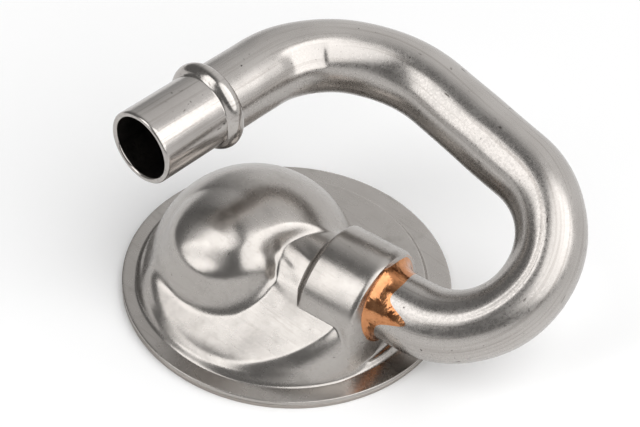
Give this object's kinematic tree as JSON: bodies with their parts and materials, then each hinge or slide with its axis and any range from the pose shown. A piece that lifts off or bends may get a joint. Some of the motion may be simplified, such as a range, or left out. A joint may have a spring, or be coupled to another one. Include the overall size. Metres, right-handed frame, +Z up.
{
  "type": "oil pickup tube",
  "caption": "Bent steel suction tube with a beaded press-in end, brazed into a round pressed cover that holds a strainer screen at the bottom of an engine's oil sump.",
  "frame": {"origin": "centre of the rim, on the underside of the retainer ring", "axes": "+Z up from the screen towards the dome; the press-in end of the tube points along -Y"},
  "size_m": [0.1135, 0.0918, 0.066],
  "materials": {
    "tube_steel": "drawn tube, satin, lightly oiled",
    "pressed_steel": "deep-drawn sheet, satin to polished",
    "copper_braze": "glossy furnace-brazed copper fillet",
    "retainer_steel": "flat sheet, satin",
    "screen_wire": "woven wire"
  },
  "bodies": {
    "root": {"pickup_tube": "tube_steel", "cover": "pressed_steel", "braze_ring": "copper_braze", "screen_retainer": "retainer_steel", "strainer_screen": "screen_wire"}
  },
  "joints": []
}
